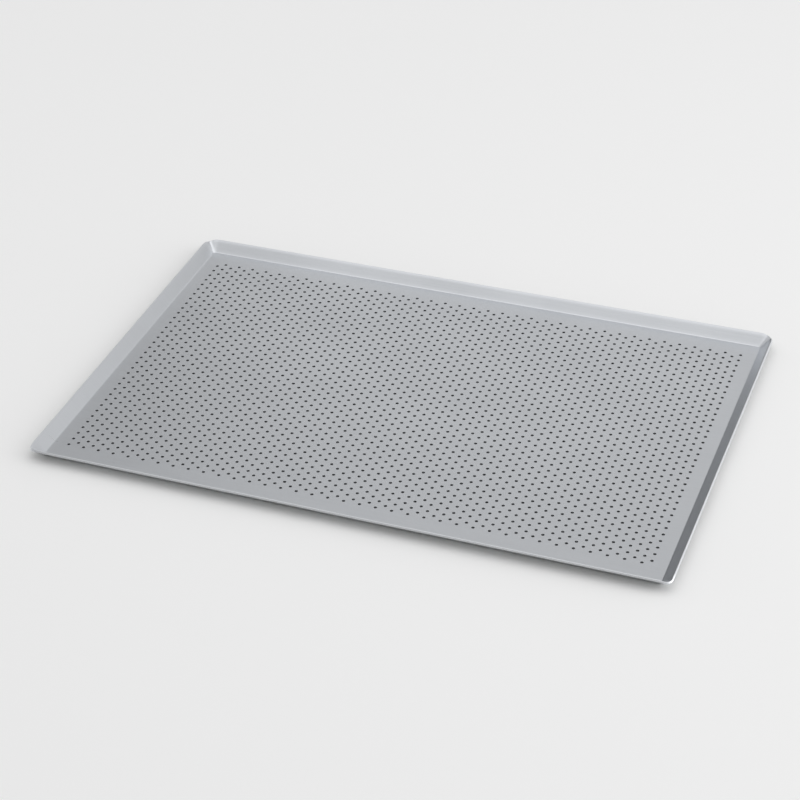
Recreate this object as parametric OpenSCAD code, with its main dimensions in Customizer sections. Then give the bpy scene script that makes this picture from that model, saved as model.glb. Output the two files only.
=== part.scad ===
// Perforated baking sheet, made from one aluminium blank: punched all over its floor, then pressed up
// into a low rim that slopes outward on all four sides and turns each corner as a quarter of a cone.
// The blank is held as regions that meet face to face: two halves of the floor, four rims, four corners.
// Origin: centre of the underside. X runs along the length, Y along the width, Z up.

/* [Sheet] */
// Outside length over the rims, along X
tray_l = 600; // [400:10:800]
// Outside width over the rims, along Y
tray_w = 400; // [300:10:600]
// Thickness of the aluminium
sheet_t = 2; // [1:0.5:3]

/* [Rim] */
// Inside depth, from the floor's upper face to the top of the rim
rim_depth = 10; // [6:1:25]
// Slope of the rim above the horizontal, in degrees
rim_slope = 45; // [30:5:75]
// Inside radius of the bend between floor and rim
bend_r = 2; // [1:0.5:4]
// Radius of the floor's corners in plan, where the bend starts
corner_r = 2; // [1:0.5:5]

/* [Perforation] */
// Diameter of each hole
hole_d = 3; // [2:0.5:5]
// Distance between neighbouring columns of holes, along X
column_pitch = 7.5; // [6:0.5:20]
// Distance between neighbouring holes of one column, along Y
hole_pitch = 9.5; // [6:0.5:20]
// Least distance from the bend to a hole's centre at the two ends
end_border = 13; // [8:1:40]
// Least distance from the bend to a hole's centre along the two sides
side_border = 18; // [8:1:40]

/* [Hidden] */
$fn = 48;
sheet_color = [0.71, 0.72, 0.73];

// Rise and run of the bend, length of the sloping wall, and run of the whole rim in plan
bend_rise = bend_r * (1 - cos(rim_slope));
bend_run = bend_r * sin(rim_slope);
wall_l = (rim_depth - bend_rise) / sin(rim_slope);
rim_run = bend_run + wall_l * cos(rim_slope) + sheet_t * sin(rim_slope);

// Flat floor up to the start of the bend, and the part of it between the axes of the four corners
floor_l = tray_l - 2 * rim_run;
floor_w = tray_w - 2 * rim_run;
core_l = floor_l - 2 * corner_r;
core_w = floor_w - 2 * corner_r;

// Every second column is shifted by half a pitch, shared out as a quarter each way
columns = floor((floor_l - 2 * end_border) / column_pitch) + 1;
column_holes = floor((floor_w - 2 * side_border - hole_pitch / 2) / hole_pitch) + 1;
column_shift = hole_pitch / 4;

// The floor's two halves meet midway between two columns
left_columns = floor(columns / 2);
meet_x = (left_columns - columns / 2) * column_pitch;

// Slice of a ring that turns the sheet from flat to the rim's slope, drawn about the bend's centre
module bend_section() {
    reach = 2 * (bend_r + sheet_t);
    intersection() {
        difference() {
            circle(r = bend_r + sheet_t);
            circle(r = bend_r);
        }
        polygon([[0, 0], [0, -reach], [reach * sin(rim_slope), -reach * cos(rim_slope)]]);
    }
}

// Section of the sheet from a corner's axis outward: edge of the floor, bend, sloping wall
module rim_section() {
    square([corner_r, sheet_t]);
    translate([corner_r, sheet_t + bend_r])
        bend_section();
    translate([corner_r + bend_run, sheet_t + bend_rise])
        rotate(rim_slope)
            translate([0, -sheet_t])
                square([wall_l, sheet_t]);
}

// Rim along one side, centred on the Y axis and rising toward +Y
module side_rim(length) {
    color(sheet_color)
        translate([length / 2, 0, 0])
            rotate([90, 0, -90])
                linear_extrude(length)
                    mirror([1, 0])
                        rim_section();
}

// Rim round one corner, from +X to +Y
module corner_rim() {
    color(sheet_color)
        rotate_extrude(angle = 90)
            rim_section();
}

// Columns of discs along Y, numbered from the left end of the tray
module hole_discs(first_column, last_column) {
    for (column = [first_column : last_column]) {
        x = (column - (columns - 1) / 2) * column_pitch;
        shift = column % 2 == 0 ? -column_shift : column_shift;
        for (hole = [0 : column_holes - 1])
            translate([x, (hole - (column_holes - 1) / 2) * hole_pitch + shift])
                circle(d = hole_d);
    }
}

// Flat floor from x_low to x_high with its columns of holes
module punched_floor(x_low, x_high, first_column, last_column) {
    color(sheet_color)
        linear_extrude(sheet_t)
            difference() {
                translate([x_low, -core_w / 2])
                    square([x_high - x_low, core_w]);
                hole_discs(first_column, last_column);
            }
}

module floor_left() {
    punched_floor(-core_l / 2, meet_x, 0, left_columns - 1);
}

module floor_right() {
    punched_floor(meet_x, core_l / 2, left_columns, columns - 1);
}

module back_rim() {
    translate([0, core_w / 2, 0])
        side_rim(core_l);
}

module front_rim() {
    rotate(180)
        back_rim();
}

module left_rim() {
    translate([-core_l / 2, 0, 0])
        rotate(90)
            side_rim(core_w);
}

module right_rim() {
    rotate(180)
        left_rim();
}

module back_right_corner() {
    translate([core_l / 2, core_w / 2, 0])
        corner_rim();
}

module front_left_corner() {
    rotate(180)
        back_right_corner();
}

module back_left_corner() {
    translate([-core_l / 2, core_w / 2, 0])
        rotate(90)
            corner_rim();
}

module front_right_corner() {
    rotate(180)
        back_left_corner();
}

floor_left();
floor_right();
front_rim();
back_rim();
left_rim();
right_rim();
front_left_corner();
front_right_corner();
back_left_corner();
back_right_corner();
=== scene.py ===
"""A perforated baking sheet on a pale studio floor: one sheet of aluminium, punched and pressed."""
import math

import bpy
from mathutils import Matrix, Vector
from mathutils.geometry import delaunay_2d_cdt


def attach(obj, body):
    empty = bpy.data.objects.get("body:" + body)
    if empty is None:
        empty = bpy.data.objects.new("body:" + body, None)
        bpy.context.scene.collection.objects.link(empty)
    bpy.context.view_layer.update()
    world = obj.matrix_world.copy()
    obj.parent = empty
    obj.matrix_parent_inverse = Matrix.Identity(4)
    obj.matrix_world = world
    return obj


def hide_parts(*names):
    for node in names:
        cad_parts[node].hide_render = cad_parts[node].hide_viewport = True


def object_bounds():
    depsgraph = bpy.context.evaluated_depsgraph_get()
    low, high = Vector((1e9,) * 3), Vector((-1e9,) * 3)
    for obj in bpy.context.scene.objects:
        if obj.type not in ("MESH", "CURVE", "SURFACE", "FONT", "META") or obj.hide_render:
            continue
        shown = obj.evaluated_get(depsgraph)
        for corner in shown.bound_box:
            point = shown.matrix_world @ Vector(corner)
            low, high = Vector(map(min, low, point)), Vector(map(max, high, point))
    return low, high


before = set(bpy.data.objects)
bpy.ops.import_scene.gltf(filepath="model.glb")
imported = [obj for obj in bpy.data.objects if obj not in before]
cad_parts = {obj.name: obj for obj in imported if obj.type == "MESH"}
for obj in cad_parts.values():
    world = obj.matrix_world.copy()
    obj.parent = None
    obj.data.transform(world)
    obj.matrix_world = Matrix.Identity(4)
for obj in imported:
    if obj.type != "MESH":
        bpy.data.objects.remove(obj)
cad_low, cad_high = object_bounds()

MM = 0.001

# The CAD model's regions of the one sheet
SHEET_NODES = [
    "floor_left", "floor_right", "front_rim", "back_rim", "left_rim", "right_rim",
    "front_left_corner", "front_right_corner", "back_left_corner", "back_right_corner",
]

# The sheet, in metres, as the CAD model has it
HALF_L = cad_high.x
HALF_W = cad_high.y
SHEET_T = 2.0 * MM
BEND_R = 2.0 * MM
CORNER_R = 2.0 * MM
RIM_SLOPE = math.radians(45)
HOLE_R = 1.5 * MM
COLUMN_PITCH = 7.5 * MM
HOLE_PITCH = 9.5 * MM
COLUMNS = 74
COLUMN_HOLES = 36
COLUMN_SHIFT = HOLE_PITCH / 4

# The rim's section, outward from the start of the bend
RIM_DEPTH = cad_high.z - SHEET_T
BEND_RISE = BEND_R * (1 - math.cos(RIM_SLOPE))
BEND_RUN = BEND_R * math.sin(RIM_SLOPE)
WALL_L = (RIM_DEPTH - BEND_RISE) / math.sin(RIM_SLOPE)
RIM_RUN = BEND_RUN + WALL_L * math.cos(RIM_SLOPE) + SHEET_T * math.sin(RIM_SLOPE)
CORE_X = HALF_L - RIM_RUN - CORNER_R
CORE_Y = HALF_W - RIM_RUN - CORNER_R

# What pressing leaves in the middle of each corner, in the order of rim_stations: how much flatter the
# wall lies, how far its cut edge is drawn out, and how high it is puckered up from its own slope. The
# powers set how quickly this fades towards the corner's ends and towards the bend.
CORNER_DROOPS = [math.radians(degrees) for degrees in (8, 7, 8, 12)]
CORNER_DRAWS = [0.3 * MM, 0.0 * MM, 1.4 * MM, 1.6 * MM]
CORNER_PUCKERS = [0.5 * MM, -0.45 * MM, -0.2 * MM, 0.3 * MM]
PUCKER_WAVES = 2
FOLD_POWER = 3
PUCKER_POWER = 1.5

# How far the slope of a side wavers, and the length of one wave
RIM_WAVER = math.radians(0.35)
WAVER_LENGTH = 210 * MM

# How finely the sheet is drawn
HOLE_SIDES = 16
BEND_STEPS = 6
WALL_STEPS = 4
EDGE_STEPS = 3
CORNER_STEPS = 30
SIDE_STEP = 20 * MM
EDGE_ROUND = 0.35 * MM
FLAT_LAP = 0.8 * MM
SHARP_ANGLE = math.radians(40)

# How the floor is triangulated: only inside its outline, and points nearer than this are one point
CDT_INSIDE = 1
SAME_POINT = 1e-8

# The tray's material slots
SHEET, EDGE, BORE, UNDER = 0, 1, 2, 3

# Colours of the metal and the floor, as linear reflectances
ALUMINIUM = (0.715, 0.735, 0.765)
DULL_ALUMINIUM = (0.675, 0.695, 0.725)
BRIGHT_ALUMINIUM = (0.78, 0.795, 0.81)
# Painted shade: the underside and the rim's outer face are coloured far darker than the sheet, between these
# two tones by random clouds
SHADED_UNDER_ALUMINIUM = (0.405, 0.42, 0.425)
CLOUDED_SHADED_UNDER_ALUMINIUM = (0.365, 0.376, 0.374)
# Painted shade: a hole's wall is coloured dark, darkest in its lower, torn part
SHADED_BORE_ALUMINIUM = (0.24, 0.25, 0.26)
TORN_DEEP_SHADED_ALUMINIUM = (0.14, 0.145, 0.15)
PALE_FLOOR = (0.95, 0.95, 0.95)

# The finish: rolling lines in the sheet, the lip round each hole, and where a hole's wall turns from torn to
# smoothed by the punch, with its painted shade lightening
ROLLING_LINES = (60 * MM, 0.9 * MM, 60 * MM)
LIP_INSIDE = 0.02 * MM
LIP_WIDTH = 0.38 * MM
TORN_BELOW = 0.9 * MM
BURNISHED_ABOVE = 1.4 * MM

# The room's light, where 1 is a white wall: from overhead, from the tray's right, and round the horizon.
# On a sphere of radius 1, HORIZON is a height, Z, and FLAG is Y less X, which is 1.41 at the back left.
LIGHT_ABOVE = 0.7
LIGHT_RIGHT = 0.5
LIGHT_HORIZON = 0.85
HORIZON_FULL = 0.15
HORIZON_END = 0.28
FLAG_START = 1.19
FLAG_FULL = 1.36
FLOOR_SIZE = 12
FLOOR_DROP = 0.2 * MM

# The photograph's view: from the front and a little to the right, looking down on the floor's middle
VIEW_AZIMUTH = math.radians(21.00)
VIEW_ELEVATION = math.radians(34.44)
VIEW_ROLL = math.radians(-1.48)
VIEW_TARGET = (-0.0116, -0.0032, 0)
VIEW_DISTANCE = 2.057
VIEW_LENS = 98.64
VIEW_SENSOR = 36


def slope_point(shape, along, outward):
    """(run, height) on a wall of this shape: along it from the bend, and outward from its inner face."""
    slope, draw, pucker = shape
    outward -= pucker * (along / WALL_L) ** PUCKER_POWER
    along += draw * along / WALL_L
    run = BEND_R * math.sin(slope) + along * math.cos(slope) + outward * math.sin(slope)
    rise = BEND_R * (1 - math.cos(slope)) + along * math.sin(slope) - outward * math.cos(slope)
    return run, SHEET_T + rise


def bend_arc(slope, radius):
    """Points of the bend on the face with this radius, from the floor up."""
    points = []
    for step in range(BEND_STEPS + 1):
        angle = slope * step / BEND_STEPS
        points.append((radius * math.sin(angle), SHEET_T + BEND_R - radius * math.cos(angle)))
    return points


def edge_arc(shape, outward, turn):
    """One rounded edge of the cut face, about a point this far outward, turning back from the angle turn."""
    points = []
    for step in range(EDGE_STEPS + 1):
        angle = turn - math.pi / 2 * step / EDGE_STEPS
        along = WALL_L - EDGE_ROUND + EDGE_ROUND * math.cos(angle)
        points.append(slope_point(shape, along, outward - EDGE_ROUND * math.sin(angle)))
    return points


def rim_section(shape):
    """[(run, height)] from the floor's top face, over the rim, to its underside."""
    up_the_wall = [WALL_L * step / WALL_STEPS for step in range(1, WALL_STEPS)]
    inner = [(-FLAT_LAP, SHEET_T), *bend_arc(shape[0], BEND_R)]
    inner += [slope_point(shape, along, 0) for along in up_the_wall]
    over = edge_arc(shape, EDGE_ROUND, math.pi / 2)
    over += edge_arc(shape, SHEET_T - EDGE_ROUND, 0)
    outer = [slope_point(shape, along, SHEET_T) for along in reversed(up_the_wall)]
    outer += [*reversed(bend_arc(shape[0], BEND_R + SHEET_T)), (-FLAT_LAP, 0.0)]
    return inner + over + outer


def section_slots():
    """The material of the face that follows each point of rim_section."""
    flat_and_bend = BEND_STEPS + 1
    to_the_edge = flat_and_bend + WALL_STEPS
    cut = 2 * (EDGE_STEPS + 1) - 1
    return [SHEET] * to_the_edge + [EDGE] * cut + [UNDER] * (to_the_edge + 1)


def corner_stations(x, y, number):
    """Stations fanned round one corner, as (axis x, axis y, outward direction, (slope, draw, pucker))."""
    stations = []
    for step in range(CORNER_STEPS + 1):
        part = step / CORNER_STEPS
        fold = math.sin(math.pi * part) ** FOLD_POWER
        slope = RIM_SLOPE - CORNER_DROOPS[number] * fold
        pucker = CORNER_PUCKERS[number] * fold * math.cos(2 * math.pi * PUCKER_WAVES * (part - 0.5))
        direction = math.pi / 2 * (number + part)
        stations.append((x, y, direction, (slope, CORNER_DRAWS[number] * fold, pucker)))
    return stations


def side_stations(start, end, direction):
    """Stations along one straight side, whose slope wavers a little away from the corners."""
    stations = []
    length = math.dist(start, end)
    steps = round(length / SIDE_STEP)
    for step in range(1, steps):
        part = step / steps
        wave = math.sin(2 * math.pi * part * length / WAVER_LENGTH + direction)
        waver = RIM_WAVER * math.sin(math.pi * part) * wave
        x = start[0] + (end[0] - start[0]) * part
        y = start[1] + (end[1] - start[1]) * part
        stations.append((x, y, direction, (RIM_SLOPE - waver, 0.0, 0.0)))
    return stations


def rim_stations():
    """All stations: the back right, back left, front left and front right corner, each with its next side."""
    stations = []
    corners = [(CORE_X, CORE_Y), (-CORE_X, CORE_Y), (-CORE_X, -CORE_Y), (CORE_X, -CORE_Y)]
    for number, corner in enumerate(corners):
        stations += corner_stations(*corner, number)
        stations += side_stations(corner, corners[(number + 1) % 4], math.pi / 2 * (number + 1))
    return stations


def hole_centres():
    """The centre of each hole in plan: columns along the length, every second one shifted by half a pitch."""
    for column in range(COLUMNS):
        x = (column - (COLUMNS - 1) / 2) * COLUMN_PITCH
        shift = COLUMN_SHIFT * (-1 if column % 2 == 0 else 1)
        for hole in range(COLUMN_HOLES):
            yield x, (hole - (COLUMN_HOLES - 1) / 2) * HOLE_PITCH + shift


def flat_floor(outline):
    """The punched floor in plan: its points (the outline's, then each hole's), triangles and hole loops."""
    points = [Vector(p) for p in outline]
    owner = [None] * len(points)
    holes = []
    for number, (x, y) in enumerate(hole_centres()):
        holes.append(range(len(points), len(points) + HOLE_SIDES))
        for side in range(HOLE_SIDES):
            angle = 2 * math.pi * (side + 0.5) / HOLE_SIDES
            points.append(Vector((x + HOLE_R * math.cos(angle), y + HOLE_R * math.sin(angle))))
            owner.append(number)
    edges = []
    for loop in [range(len(outline)), *holes]:
        edges += [(loop[i - 1], loop[i]) for i in range(len(loop))]
    triangles = delaunay_2d_cdt(points, edges, [], CDT_INSIDE, SAME_POINT)[2]
    in_metal = []
    for a, b, c in triangles:
        owners = {owner[a], owner[b], owner[c]}
        if owners == {None} or len(owners) > 1:
            in_metal.append((a, b, c))
    return points, in_metal, holes


def swept_rim(stations):
    """The rim's section at each station: its points, the faces to the next station, and their slots."""
    slots_across = section_slots()
    verts, faces, slots = [], [], []
    for x, y, direction, shape in stations:
        for run, height in rim_section(shape):
            reach = CORNER_R + run
            verts.append((x + reach * math.cos(direction), y + reach * math.sin(direction), height))
    wide = len(verts) // len(stations)
    for i in range(len(stations)):
        j = (i + 1) % len(stations)
        for k in range(wide - 1):
            faces.append((i * wide + k, i * wide + k + 1, j * wide + k + 1, j * wide + k))
            slots.append(slots_across[k])
    return verts, faces, slots


def tray_mesh():
    """The whole sheet as one closed mesh: the rim swept round its stations, the punched floor inside it."""
    stations = rim_stations()
    verts, faces, slots = swept_rim(stations)
    wide = len(verts) // len(stations)
    outline = [verts[i * wide][:2] for i in range(len(stations))]
    plan, triangles, holes = flat_floor(outline)
    top_of = {p: p * wide for p in range(len(outline))}
    under_of = {p: p * wide + wide - 1 for p in range(len(outline))}
    for p in range(len(outline), len(plan)):
        top_of[p] = len(verts)
        verts.append((plan[p].x, plan[p].y, SHEET_T))
        under_of[p] = len(verts)
        verts.append((plan[p].x, plan[p].y, 0.0))
    for a, b, c in triangles:
        faces.append((top_of[a], top_of[b], top_of[c]))
        faces.append((under_of[c], under_of[b], under_of[a]))
        slots += [SHEET, UNDER]
    for loop in holes:
        for i in range(HOLE_SIDES):
            a, b = loop[i - 1], loop[i]
            faces.append((top_of[a], top_of[b], under_of[b], under_of[a]))
            slots.append(BORE)
    mesh = bpy.data.meshes.new("baking_sheet")
    mesh.from_pydata(verts, [], faces)
    mesh.polygons.foreach_set("material_index", slots)
    mesh.validate()
    mesh.shade_smooth()
    mesh.set_sharp_from_angle(angle=SHARP_ANGLE)
    return mesh


def new_material(name, color, metallic, roughness):
    """A material's node tree and its shader, with the values that are the same all over."""
    material = bpy.data.materials.new(name)
    material.use_nodes = True
    shader = material.node_tree.nodes["Principled BSDF"]
    shader.inputs["Base Color"].default_value = (*color, 1)
    shader.inputs["Metallic"].default_value = metallic
    shader.inputs["Roughness"].default_value = roughness
    return material, material.node_tree, shader


def compute(tree, operation, *values):
    """One Math node's result; each value is a number or another node's output."""
    made = tree.nodes.new("ShaderNodeMath")
    made.operation = operation
    for socket, value in zip(made.inputs, values):
        if isinstance(value, bpy.types.NodeSocket):
            tree.links.new(value, socket)
        else:
            socket.default_value = value
    return made.outputs["Value"]


def in_range(tree, value, low, high, to_low, to_high):
    """Value from low to high, carried to to_low and to_high with soft ends."""
    made = tree.nodes.new("ShaderNodeMapRange")
    made.interpolation_type = "SMOOTHSTEP"
    tree.links.new(value, made.inputs["Value"])
    for name, number in zip(("From Min", "From Max", "To Min", "To Max"), (low, high, to_low, to_high)):
        made.inputs[name].default_value = number
    return made.outputs["Result"]


def grain(tree, place, sizes, detail):
    """Noise from 0 to 1 whose features have these sizes along X, Y and Z, in metres."""
    stretch = tree.nodes.new("ShaderNodeMapping")
    stretch.inputs["Scale"].default_value = [1 / size for size in sizes]
    tree.links.new(place, stretch.inputs["Vector"])
    made = tree.nodes.new("ShaderNodeTexNoise")
    made.inputs["Scale"].default_value = 1.0
    made.inputs["Detail"].default_value = detail
    tree.links.new(stretch.outputs["Vector"], made.inputs["Vector"])
    return made.outputs["Fac"]


def tint(tree, shader, factor, dark, light):
    """Colours the shader from dark to light by factor."""
    made = tree.nodes.new("ShaderNodeMix")
    made.data_type = "RGBA"
    made.inputs["A"].default_value = (*dark, 1)
    made.inputs["B"].default_value = (*light, 1)
    tree.links.new(factor, made.inputs["Factor"])
    tree.links.new(made.outputs["Result"], shader.inputs["Base Color"])


def relief(tree, shader, height, distance):
    """Raises the surface by height times distance."""
    made = tree.nodes.new("ShaderNodeBump")
    made.inputs["Distance"].default_value = distance
    tree.links.new(height, made.inputs["Height"])
    tree.links.new(made.outputs["Normal"], shader.inputs["Normal"])


def nearest(tree, value, count):
    """The whole number from 0 to count - 1 that is nearest to value."""
    whole = compute(tree, "ROUND", value)
    return compute(tree, "MINIMUM", compute(tree, "MAXIMUM", whole, 0), count - 1)


def nearest_hole(tree, place):
    """The distance to the nearest hole's axis, in metres, from the same rule that hole_centres follows."""
    split = tree.nodes.new("ShaderNodeSeparateXYZ")
    tree.links.new(place, split.inputs["Vector"])
    along = compute(tree, "MULTIPLY_ADD", split.outputs["X"], 1 / COLUMN_PITCH, (COLUMNS - 1) / 2)
    column = nearest(tree, along, COLUMNS)
    odd = compute(tree, "MODULO", column, 2)
    shift = compute(tree, "MULTIPLY_ADD", odd, 2 * COLUMN_SHIFT / HOLE_PITCH, -COLUMN_SHIFT / HOLE_PITCH)
    across = compute(tree, "MULTIPLY_ADD", split.outputs["Y"], 1 / HOLE_PITCH, (COLUMN_HOLES - 1) / 2)
    across = compute(tree, "SUBTRACT", across, shift)
    hole = nearest(tree, across, COLUMN_HOLES)
    off_x = compute(tree, "MULTIPLY", compute(tree, "SUBTRACT", along, column), COLUMN_PITCH)
    off_y = compute(tree, "MULTIPLY", compute(tree, "SUBTRACT", across, hole), HOLE_PITCH)
    squares = compute(tree, "ADD", compute(tree, "POWER", off_x, 2), compute(tree, "POWER", off_y, 2))
    return compute(tree, "SQRT", squares)


def rolled_aluminium():
    """Satin sheet: rolling lines along its length, faint clouds, and the lip that punching draws in."""
    material, tree, shader = new_material("rolled_aluminium", ALUMINIUM, 1.0, 0.31)
    place = tree.nodes.new("ShaderNodeTexCoord").outputs["Object"]
    lines = grain(tree, place, ROLLING_LINES, 3)
    fine = grain(tree, place, (2.5 * MM, 0.22 * MM, 2.5 * MM), 2)
    clouds = grain(tree, place, (110 * MM, 70 * MM, 110 * MM), 3)
    ring = nearest_hole(tree, place)
    lip = in_range(tree, ring, HOLE_R - LIP_INSIDE, HOLE_R + LIP_WIDTH, 0, 1)
    mixed = compute(tree, "MULTIPLY_ADD", lines, 0.45, compute(tree, "MULTIPLY", clouds, 0.55))
    tint(tree, shader, in_range(tree, mixed, 0.3, 0.7, 0, 1), DULL_ALUMINIUM, ALUMINIUM)
    patchy = compute(tree, "MULTIPLY_ADD", clouds, -0.10, 0.32)
    rough = compute(tree, "MULTIPLY_ADD", lines, 0.08, patchy)
    tree.links.new(rough, shader.inputs["Roughness"])
    height = compute(tree, "MULTIPLY_ADD", lines, 0.010, compute(tree, "MULTIPLY", fine, 0.012))
    relief(tree, shader, compute(tree, "MULTIPLY_ADD", lip, 0.05, height), MM)
    return material


def shaded_underside():
    """The underside and the rim's outer face: the same sheet, duller, its colour darkened as painted shade
    and varied by faint random clouds.
    """
    material, tree, shader = new_material("shaded_underside", SHADED_UNDER_ALUMINIUM, 1.0, 0.42)
    place = tree.nodes.new("ShaderNodeTexCoord").outputs["Object"]
    lines = grain(tree, place, ROLLING_LINES, 3)
    clouds = grain(tree, place, (90 * MM, 60 * MM, 90 * MM), 4)
    # Painted shade: the darkened colour of the underside and outer face, varied by random clouds
    tint(tree, shader, in_range(tree, clouds, 0.35, 0.65, 0, 1), CLOUDED_SHADED_UNDER_ALUMINIUM, SHADED_UNDER_ALUMINIUM)
    patchy = compute(tree, "MULTIPLY_ADD", clouds, -0.08, 0.42)
    rough = compute(tree, "MULTIPLY_ADD", lines, 0.08, patchy)
    tree.links.new(rough, shader.inputs["Roughness"])
    relief(tree, shader, lines, 0.012 * MM)
    return material


def sheared_edge():
    """The bare cut edge: brighter, with fine marks of the shear across its thickness."""
    material, tree, shader = new_material("sheared_edge", BRIGHT_ALUMINIUM, 1.0, 0.3)
    place = tree.nodes.new("ShaderNodeTexCoord").outputs["Object"]
    marks = grain(tree, place, (0.5 * MM, 0.5 * MM, 4 * MM), 3)
    tint(tree, shader, in_range(tree, marks, 0.3, 0.7, 0, 1), DULL_ALUMINIUM, BRIGHT_ALUMINIUM)
    tree.links.new(compute(tree, "MULTIPLY_ADD", marks, 0.16, 0.28), shader.inputs["Roughness"])
    relief(tree, shader, marks, 0.02 * MM)
    return material


def punched_bore():
    """A hole's wall: smoothed by the punch above, torn, rougher and a little duller below, and coloured dark
    all over as painted shade that deepens towards the bottom.
    """
    material, tree, shader = new_material("punched_bore", SHADED_BORE_ALUMINIUM, 1.0, 0.5)
    place = tree.nodes.new("ShaderNodeTexCoord").outputs["Object"]
    split = tree.nodes.new("ShaderNodeSeparateXYZ")
    tree.links.new(place, split.inputs["Vector"])
    tears = grain(tree, place, (0.6 * MM, 0.6 * MM, 3 * MM), 2)
    ragged = compute(tree, "MULTIPLY_ADD", tears, 0.6 * MM, split.outputs["Z"])
    burnished_and_less_shaded = in_range(tree, ragged, TORN_BELOW, BURNISHED_ABOVE, 0, 1)
    # Painted shade: the wall's colour goes from darkest below to dark above
    tint(tree, shader, burnished_and_less_shaded, TORN_DEEP_SHADED_ALUMINIUM, SHADED_BORE_ALUMINIUM)
    rough = in_range(tree, ragged, TORN_BELOW, BURNISHED_ABOVE, 0.7, 0.42)
    tree.links.new(rough, shader.inputs["Roughness"])
    return material


def make_camera():
    """The photograph's camera, swung round the point that it looks at."""
    camera = bpy.data.objects.new("camera", bpy.data.cameras.new("camera"))
    bpy.context.scene.collection.objects.link(camera)
    bpy.context.scene.camera = camera
    camera.data.sensor_width = VIEW_SENSOR
    camera.data.lens = VIEW_LENS
    camera.data.clip_start = 0.05
    camera.data.clip_end = 20
    tilt = Matrix.Rotation(math.pi / 2 - VIEW_ELEVATION, 4, "X")
    swing = Matrix.Rotation(VIEW_AZIMUTH, 4, "Z") @ tilt
    back_off = Matrix.Rotation(VIEW_ROLL, 4, "Z") @ Matrix.Translation((0, 0, VIEW_DISTANCE))
    camera.matrix_world = Matrix.Translation(VIEW_TARGET) @ swing @ back_off


def area_light(name, place, target, size, power):
    """A soft rectangular lamp at place, turned towards target: its size in metres and its power in watts."""
    data = bpy.data.lights.new(name, "AREA")
    data.shape = "RECTANGLE"
    data.size, data.size_y = size
    data.energy = power
    lamp = bpy.data.objects.new(name, data)
    bpy.context.scene.collection.objects.link(lamp)
    lamp.location = place
    lamp.rotation_euler = (Vector(target) - Vector(place)).to_track_quat("-Z", "Y").to_euler()


def make_world():
    """A plain room: pale round the horizon, brighter overhead and to the tray's right, with a dark flag
    behind the tray's back left corner, which is what its right rim mirrors."""
    world = bpy.data.worlds.new("studio")
    bpy.context.scene.world = world
    world.use_nodes = True
    tree = world.node_tree
    background = tree.nodes["Background"]
    background.inputs["Color"].default_value = (1.0, 1.0, 1.0, 1)
    split = tree.nodes.new("ShaderNodeSeparateXYZ")
    tree.links.new(tree.nodes.new("ShaderNodeTexCoord").outputs["Generated"], split.inputs[0])
    to_right, to_back, upward = (split.outputs[axis] for axis in ("X", "Y", "Z"))
    from_above = compute(tree, "MULTIPLY", compute(tree, "MAXIMUM", upward, 0), LIGHT_ABOVE)
    from_right = compute(tree, "MULTIPLY", compute(tree, "MAXIMUM", to_right, 0), LIGHT_RIGHT)
    to_back_left = compute(tree, "SUBTRACT", to_back, to_right)
    beside_flag = in_range(tree, to_back_left, FLAG_START, FLAG_FULL, 1, 0)
    horizon = in_range(tree, upward, HORIZON_FULL, HORIZON_END, LIGHT_HORIZON, 0)
    room = compute(tree, "ADD", from_above, from_right)
    strength = compute(tree, "MULTIPLY_ADD", horizon, beside_flag, room)
    tree.links.new(strength, background.inputs["Strength"])


def make_tray():
    """The whole tray, which stands for every region of the CAD model."""
    tray = bpy.data.objects.new("baking_sheet", tray_mesh())
    bpy.context.scene.collection.objects.link(tray)
    for material in (rolled_aluminium(), sheared_edge(), punched_bore(), shaded_underside()):
        tray.data.materials.append(material)
    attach(tray, "root")
    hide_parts(*SHEET_NODES)


def make_floor():
    """The studio floor, a hair below the tray so that the two faces do not meet."""
    half = FLOOR_SIZE / 2
    mesh = bpy.data.meshes.new("studio_floor")
    corners = [(-half, -half, 0), (half, -half, 0), (half, half, 0), (-half, half, 0)]
    mesh.from_pydata(corners, [], [(0, 1, 2, 3)])
    floor = bpy.data.objects.new("studio_floor", mesh)
    floor.location.z = -FLOOR_DROP
    bpy.context.scene.collection.objects.link(floor)
    mesh.materials.append(new_material("pale_floor", PALE_FLOOR, 0.0, 0.8)[0])


def make_lamps():
    """Soft panels overhead and on three sides, strongest on the tray's right."""
    area_light("overhead", (0.1, 0.1, 2.4), (0.1, 0.1, 0), (3.4, 3.2), 13.7)
    area_light("right_panel", (2.4, 0.3, 1.1), (0, 0, 0), (2.2, 1.8), 17.6)
    area_light("back_panel", (-0.3, 2.6, 1.4), (0, 0, 0), (2.4, 1.2), 3.0)
    area_light("left_panel", (-2.4, 0.3, 1.3), (0, 0, 0), (2.8, 2.0), 5)


make_camera()
make_tray()
make_floor()
make_lamps()
make_world()
bpy.context.scene.view_settings.view_transform = "Standard"
